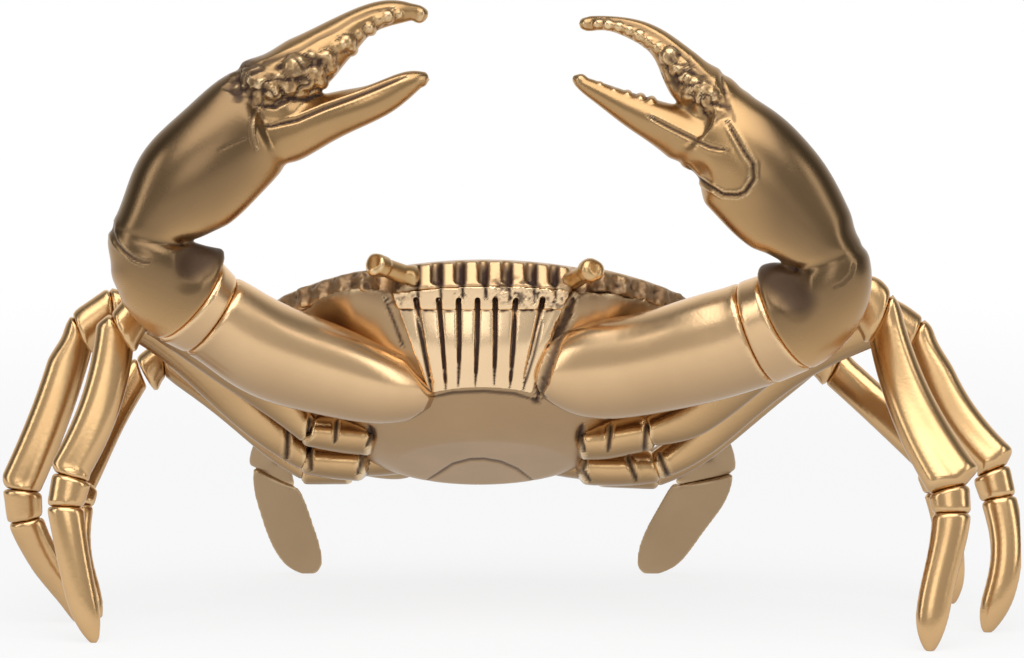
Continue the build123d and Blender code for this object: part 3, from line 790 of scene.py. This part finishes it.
def right_claw():
    """The right claw, with its row of knobs, its finger teeth and its hooked lower seam."""
    form = claw("right", RIGHT_NECK, RIGHT_KNUCKLE, RIGHT_FILLS)
    hollow_wrist(form, RIGHT_DISHES, RIGHT_NECK, RIGHT_VALLEY_SHADE)
    set_knobs(form, RIGHT_KNOB_BORDER, 3.0, (*RIGHT_KNOBS, *RIGHT_TEETH))
    gap, _ = line_distance(form.pixels, RIGHT_GAPE_MIDDLE)
    form.cracks(smoothstep(22, 10, gap) * form.front(), 0.9, 4.0, 9)
    form.refresh()
    form.crumbs(smoothstep(20, 9, gap) * form.front(), 0.3, 2.0, 10)
    form.refresh()
    form.groove(RIGHT_UPPER_SEAM, 2.6, 0.5, 0.5)
    form.groove(RIGHT_LOWER_SEAM, 2.4, 0.75, 0.75, reach=-0.2, lip=0.5)
    form.groove(RIGHT_FINGER_FURROW, 2.4, 0.7, 0.9, lip=0.2)
    form.groove(RIGHT_COLLAR, 2.0, 0.3, 0.35, lip=0.15)
    return form


# Body, in millimetres in the working frame, and its lines in photo pixels

BODY_MIDDLE = -13.5
# Width of the slices in which the rim's front edge is measured, and how deep marks on the rim reach.
RIM_STEP = 4.0
RIM_DEPTH = 9.0
RIM_FADE = 4
# Where the shell's side margins start and are full, beside the middle, and how far back they reach.
MARGIN_START = 40
MARGIN_FULL = 54
MARGIN_BACK = 30
MARGIN_FRONT = 6
MARGIN_RAISE = 1.6
# Heights between which the face below the rim comes forward, and how far behind the rim's edge it stays.
FACE_LOW = 112.0
FACE_HIGH = 134.0
FACE_PROUD = -0.6
# The front wall stands this share of the camera's distance away.
FACE_SHARE = 0.966
# Beside the middle, where the mouth plate's own place ends and where the face tapers off.
FACE_INNER = (30, 40)
FACE_OUTER = (100, 90)
FLUTE_COLUMNS = (417, 440, 462, 485, 509, 534, 555)
RIB_GROOVES = (
    ((417, 318), (424, 355), (432, 395)),
    ((439, 300), (443, 345), (446, 391)),
    ((459, 297), (460, 343), (458, 389)),
    ((478, 297), (478, 342), (475, 387)),
    ((495, 296), (496, 340), (494, 385)),
    ((515, 314), (514, 350), (510, 388)),
    ((542, 321), (534, 355), (523, 390)),
)
LEFT_SIDE_GROOVE = ((384, 297), (393, 318), (403, 346))
RIGHT_SIDE_GROOVE = ((574, 298), (566, 316), (558, 335), (548, 365), (538, 398))
MOUTH_ARC = ((429, 398), (453, 393), (484, 391.6), (514, 394), (534, 400))
LEDGE = ((388, 303), (410, 300), (430, 299), (470, 298), (500, 300), (530, 303), (560, 306))
RUBBLE = ((500, 288), (520, 292), (545, 298), (560, 296))
APRON = ((424, 482), (436, 475), (453, 464), (470, 459.5), (484, 459), (501, 462), (517, 469), (536, 483))
RIM_BREAK_LEFT = ((280, 300), (300, 294), (330, 284), (356, 277), (384, 284), (408, 286))
RIM_BREAK_RIGHT = ((566, 288), (590, 286), (612, 286), (640, 292), (668, 297), (686, 298))


def carve_face(form):
    """The marks that run over the rim, brow and mouth plate, on whichever casting they meet."""
    for column in FLUTE_COLUMNS:
        form.groove(((column, 279), (column + 1, 299)), 2.6, 0.6, 0.9)
    for line in RIB_GROOVES:
        form.groove(line, 2.4, 0.5, 0.9)
    form.groove(LEFT_SIDE_GROOVE, 2.4, 0.7, 0.9)
    form.groove(RIGHT_SIDE_GROOVE, 7.0, 1.8, 0.85, lip=0.3)
    form.groove(MOUTH_ARC, 2.4, 0.6, 0.8)
    form.refresh()
    ledge, _ = line_distance(form.pixels, LEDGE)
    rubble, _ = line_distance(form.pixels, RUBBLE)
    gash, _ = line_distance(form.pixels, RIGHT_SIDE_GROOVE)
    patchy = smoothstep(-0.1, 0.5, noise(form.points, 7.0, 19))
    rough = np.maximum(smoothstep(8, 3, ledge) * patchy * 0.8, smoothstep(18, 8, rubble))
    rough = np.maximum(rough, smoothstep(9, 4, gash))
    form.crumbs(rough * form.front(), 0.5, 1.7, 21, dark=0.85)


def mouth_plate():
    """The ribbed plate over the mouth."""
    form = Casting("mouth_plate", ["mouth_plate"], GRIDS["plate"])
    form.smooth(4, 0.6)
    carve_face(form)
    return form


def carapace():
    """The shell, with its fluted and crumbled rim."""
    form = Casting("carapace", ["carapace"], GRIDS["shell"])
    form.smooth(3, 0.5)
    behind_rim = form.points[:, 1] - rim_front(form.points[:, 0])
    aside = np.abs(form.points[:, 0] - HOME[0] - BODY_MIDDLE)
    margin = smoothstep(MARGIN_START, MARGIN_FULL, aside) * smoothstep(MARGIN_BACK, MARGIN_FRONT, behind_rim)
    form.fore = smoothstep(RIM_DEPTH, RIM_DEPTH - RIM_FADE, behind_rim)
    form.relax(14, margin)
    form.smooth(6, margin)
    form.points[:, 2] += MARGIN_RAISE * margin * smoothstep(FACE_LOW, FACE_HIGH, form.points[:, 2])
    form.refresh()
    # Painted shade in the rim's flutes.
    for column in FLUTE_COLUMNS:
        form.paint_shade(((column, 266), (column, 284)), 6.5, 1.0, reach=-0.6)
    carve_face(form)
    for line in (RIM_BREAK_LEFT, RIM_BREAK_RIGHT):
        gap, _ = line_distance(form.pixels, line)
        form.crumbs(smoothstep(14, 6, gap) * form.front(), 0.7, 3.0, 31, dark=0.8)
        # Painted shade along the rim's broken lower edge.
        form.paint_shade(line, 14, 0.45, reach=-0.3)
    return form


def rim_front(places):
    """How far forward the carapace reaches at each x, in millimetres in the row frame."""
    rim = read(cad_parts["carapace"].data.vertices, "co", 3) / MM
    bins = np.arange(rim[:, 0].min(), rim[:, 0].max(), RIM_STEP)
    slot = np.digitize(rim[:, 0], bins) - 1
    front = np.array([rim[slot == i, 1].min() for i in range(len(bins))])
    even = np.convolve(np.pad(front, 2, "edge"), np.ones(5) / 5, "valid")
    return np.interp(places, bins + RIM_STEP / 2, even)


def top_of_front(form):
    """Height of the front wall's upper edge at each point's x, in millimetres."""
    wall = (form.facing > 0.2) & (form.points[:, 2] > FACE_LOW)
    bins = np.arange(form.points[:, 0].min(), form.points[:, 0].max() + RIM_STEP, RIM_STEP)
    slot = np.digitize(form.points[:, 0], bins) - 1
    tops = np.array([form.points[wall & (slot == i), 2].max(initial=FACE_LOW) for i in range(len(bins))])
    return np.interp(form.points[:, 0], bins + RIM_STEP / 2, tops)


def fill_face(form):
    """Brings the underbody's front forward and up to the rim's edge, beside the brow."""
    x, y, z = (form.points - HOME).T
    aside = np.abs(x - BODY_MIDDLE)
    share = smoothstep(0.0, 0.3, form.facing)
    share = share * smoothstep(*FACE_OUTER, aside) * smoothstep(*FACE_INNER, aside)
    top = top_of_front(form)
    line = np.array((*RIM_BREAK_LEFT, *RIM_BREAK_RIGHT), float)
    row = np.interp(form.pixels[:, 0], line[:, 0], line[:, 1])
    dip = CAMERA_PITCH - (PHOTO_HEIGHT / 2 - row) / FOCAL_PX
    edge = CAMERA_UP - CAMERA_BACK * np.tan(dip) * FACE_SHARE
    stretch = np.clip((edge - FACE_LOW) / np.maximum(top - FACE_LOW, 1), 1, 1.6)
    form.points[:, 2] += np.clip(z - FACE_LOW, 0, None) * (stretch - 1) * share
    target = rim_front(form.points[:, 0]) - HOME[1] + FACE_PROUD
    share *= smoothstep(FACE_LOW, FACE_HIGH, z)
    form.points[:, 1] += np.minimum(target - y, 0) * share
    form.refresh()
    form.smooth(8, 0.7 * smoothstep(FACE_LOW - 5, FACE_HIGH, z) * form.front())


def underbody():
    """The belly, with its front wall, its apron line and the rims round the hips."""
    form = Casting("underbody", ["underbody"], GRIDS["belly"])
    form.smooth(3, 0.5)
    fill_face(form)
    # Painted shade on the belly's underside.
    form.painted_side_shade(0.3, BELLY_SIDE)
    form.groove(APRON, 2.0, 0.4, 0.7)
    for line in (*LEFT_HIP_RIMS, *RIGHT_HIP_RIMS):
        form.groove(line, 4.5, 1.0, 1.0)
    carve_face(form)
    for line in (RIM_BREAK_LEFT, RIM_BREAK_RIGHT):
        gap, _ = line_distance(form.pixels, line)
        form.crumbs(smoothstep(16, 6, gap) * form.front(), 0.6, 3.0, 33, dark=0.7)
        # Painted shade in a band below the overhanging rim.
        form.paint_shade(line, 26, 0.3)
    return form


# Limbs, as lines in photo pixels: the grooves round each front hip's inner end, and across the hip.

LEFT_HIP_RIMS = (((369, 426), (372, 437), (367, 447)), ((360, 445), (363, 460), (358, 475)))
RIGHT_HIP_RIMS = (((583, 424), (580, 438), (585, 454)), ((586, 457), (582, 470), (590, 482)))
HIP_GROOVES = {
    "left_leg1": (((337, 419), (335, 443)), ((311, 417), (308, 436)), LEFT_HIP_RIMS[0]),
    "left_leg2": (((308, 433), (311, 472)), ((289, 424), (286, 460)), LEFT_HIP_RIMS[1]),
    "right_leg1": (((611, 423), (608, 452)), ((647, 423), (644, 453)), RIGHT_HIP_RIMS[0]),
    "right_leg2": (((627, 455), (637, 482)), ((658, 452), (669, 478)), RIGHT_HIP_RIMS[1]),
}
# Where each hip ends at the belly, and on which side of that line the belly lies.
HIP_ENDS = {
    "left_leg1": (((371, 420), (372, 437), (370, 450)), 1),
    "left_leg2": (((362, 440), (363, 460), (361, 480)), 1),
    "right_leg1": (((581, 420), (580, 438), (582, 456)), -1),
    "right_leg2": (((584, 452), (582, 470), (585, 486)), -1),
    "left_leg3": (((352, 440), (352, 500)), 1),
    "right_leg3": (((598, 440), (598, 500)), -1),
}
# The same for the paddle thighs and the left arm.
PADDLE_ENDS = {"left": (((338, 440), (338, 500)), 1), "right": (((612, 440), (612, 500)), -1)}
LEFT_ARM_END = ((400, 340), (412, 366), (424, 384), (434, 398), (428, 410), (400, 430))
# How far what lies beyond such a line is drawn into the body, in millimetres.
HIP_TUCK = np.array([0, 14.0, 0])
REAR_TUCK = np.array([0, 6.0, 9.0])
PADDLE_TUCK = np.array([0, 0, 6.0])
# Slight bows of the limbs, as the axis that each runs along and the shift of its middle in millimetres.
BOWS = {
    "left_leg3_shin": (2, (-5.0, 0, 0)),
    "left_leg3_toe": (2, (-4.0, 0, 0)),
    "left_leg3_hip": (0, (0, 0, 3.0)),
    "left_leg3_thigh": (0, (0, 0, 3.0)),
    "left_leg2_toe": (2, (1.6, 0, 0)),
    "left_leg2_shin": (2, (0.8, 0, 0)),
    "left_leg1_toe": (2, (0.6, 0, 0)),
    "right_leg1_toe": (2, (-1.4, 0, 0)),
    "right_leg2_toe": (2, (1.4, 0, 0)),
    "right_leg3_hip": (0, (0, 0, 3.0)),
    "right_leg3_shin": (2, (0.8, 0, 0)),
}
# Small pulls that fit the legs' outlines, given as those of the claws.
LEG_PULLS = {
    "left_leg1": ((74, 304, 40, (-0.5, 0, 2.4)),),
    "left_leg2": ((56, 330, 34, (3.0, 0, -0.5)), (56, 604, 44, (2.2, 0, 0))),
    "right_leg1": ((884, 290, 38, (0.5, 0, 5.5)), (650, 430, 60, (0, 0, 3.2))),
    "right_leg2": ((936, 330, 46, (-2.4, 0, -1.4)),),
}
LEG_PARTS = ("hip", "thigh", "knee", "shin", "ankle", "toe")
# How much fuller the hips are than their solids, in millimetres.
HIP_FULLNESS = 1.1
# Heights up to which the tips are rounded off, and how wide each stays at the floor.
TOE_TIP = 16.0
TOE_FOOT = 0.45
BLADE_TIP = 5.0
BLADE_FOOT = 0.5
# How far each blade's tip is set sideways, from nothing at the top of the blade.
BLADE_HEIGHT = 70.0
BLADE_SHIFTS = {"left": 4.8, "right": -0.6}
# An eye's drum: where it starts and is full along the stalk, and how much fuller it is, in millimetres.
DRUM_START = 0.45
DRUM_FULL = 0.75
DRUM_FULLNESS = 1.1
EYE_REACH = 12


def middle_of(node):
    """Middle of a node's box, in millimetres in the row frame."""
    low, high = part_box(node)
    return (np.array(low) + high) / 2 / MM


def leg_piece(leg, part):
    """One casting of a walking leg."""
    form = Casting(f"{leg}_{part}", [f"{leg}_{part}"], GRIDS["leg"])
    form.smooth(2, 0.5)
    if part == "shin":
        form.even_out(middle_of(f"{leg}_knee"), middle_of(f"{leg}_ankle"))
    if part == "toe":
        form.round_tip(TOE_TIP, TOE_FOOT)
    if part == "hip":
        form.tuck(*HIP_ENDS[leg], REAR_TUCK if leg.endswith("3") else HIP_TUCK, 4.0)
        form.push(HIP_FULLNESS * np.ones(len(form.points)))
        form.refresh()
    if form.name in BOWS:
        form.bow(*BOWS[form.name])
    for pull in LEG_PULLS.get(leg, ()):
        form.grab(*pull)
    # Painted shade on the underside, strongest on the hips and thighs.
    form.painted_side_shade(0.8 if part in ("hip", "thigh") else 0.5, UNDERSIDE)
    if part in ("hip", "thigh"):
        for line in HIP_GROOVES.get(leg, ()):
            form.groove(line, 3.4, 1.0, 1.0, reach=-0.2, lip=0.3)
    return form


def plain_piece(name, kind):
    """A casting that only has its edges softened."""
    form = Casting(name, [name], GRIDS[kind])
    form.smooth(2, 0.5)
    return form


def cuff(side):
    """The ring between an arm and its wrist."""
    form = plain_piece(f"{side}_cuff", "cuff")
    # Painted shade on the cuff's underside.
    form.painted_side_shade(0.6, UNDERSIDE)
    return form


def eye(side):
    """A short stalk with a rounded drum at its end."""
    form = plain_piece(f"{side}_eye", "eye")
    along = np.abs(form.points[:, 0] - form.points[:, 0].mean()) / EYE_REACH
    form.push(DRUM_FULLNESS * smoothstep(DRUM_START, DRUM_FULL, along))
    form.refresh()
    form.relax(10)
    return form


def paddle_thigh(side):
    """A paddle's thigh, lifted to the belly at its inner end."""
    form = plain_piece(f"{side}_paddle_thigh", "paddle")
    form.tuck(*PADDLE_ENDS[side], PADDLE_TUCK, 30.0)
    return form


def blade(side):
    """A paddle's blade, with its tip rounded down to the foot that it stands on."""
    form = plain_piece(f"{side}_paddle_blade", "paddle")
    form.round_tip(BLADE_TIP, BLADE_FOOT)
    form.points[:, 0] += BLADE_SHIFTS[side] * smoothstep(BLADE_HEIGHT, 0, form.points[:, 2])
    form.refresh()
    return form


def arm(side):
    """The long segment beside the mouth."""
    form = Casting(f"{side}_arm", [f"{side}_arm"], GRIDS["arm"])
    form.smooth(3, 0.5)
    # Painted shade on the arm's underside.
    form.painted_side_shade(0.75, UNDERSIDE)
    if side == "left":
        form.tuck(LEFT_ARM_END, 1, HIP_TUCK, 7.0)
    if side == "right":
        form.groove(RIGHT_SIDE_GROOVE, 7.0, 1.4, 0.85)
        form.refresh()
        gash, _ = line_distance(form.pixels, RIGHT_SIDE_GROOVE)
        form.crumbs(smoothstep(9, 4, gash) * form.front(), 0.4, 1.7, 21, dark=0.85)
    return form


def castings():
    """Every visible casting in turn, after the slot of its finish."""
    yield "claw_brass", left_claw()
    yield "claw_brass", right_claw()
    yield "shell_brass", carapace()
    yield "belly_brass", underbody()
    yield "mouth_brass", mouth_plate()
    for side in ("left", "right"):
        yield "arm_brass", arm(side)
        yield "arm_brass", cuff(side)
        yield "eye_brass", eye(side)
        yield "paddle_brass", paddle_thigh(side)
        yield "paddle_brass", plain_piece(f"{side}_paddle_shank", "paddle")
        yield "paddle_brass", blade(side)
        for number, part in product((1, 2, 3), LEG_PARTS):
            yield "leg_brass", leg_piece(f"{side}_leg{number}", part)


def build_crab(finishes):
    """Sculpts the castings one by one and gives each its finish."""
    for slot, form in castings():
        form.finish(slot, finishes[slot])


bpy.context.scene.view_settings.view_transform = "Standard"
make_camera()
make_world()
make_floor()
make_lamps()
build_crab(make_materials())
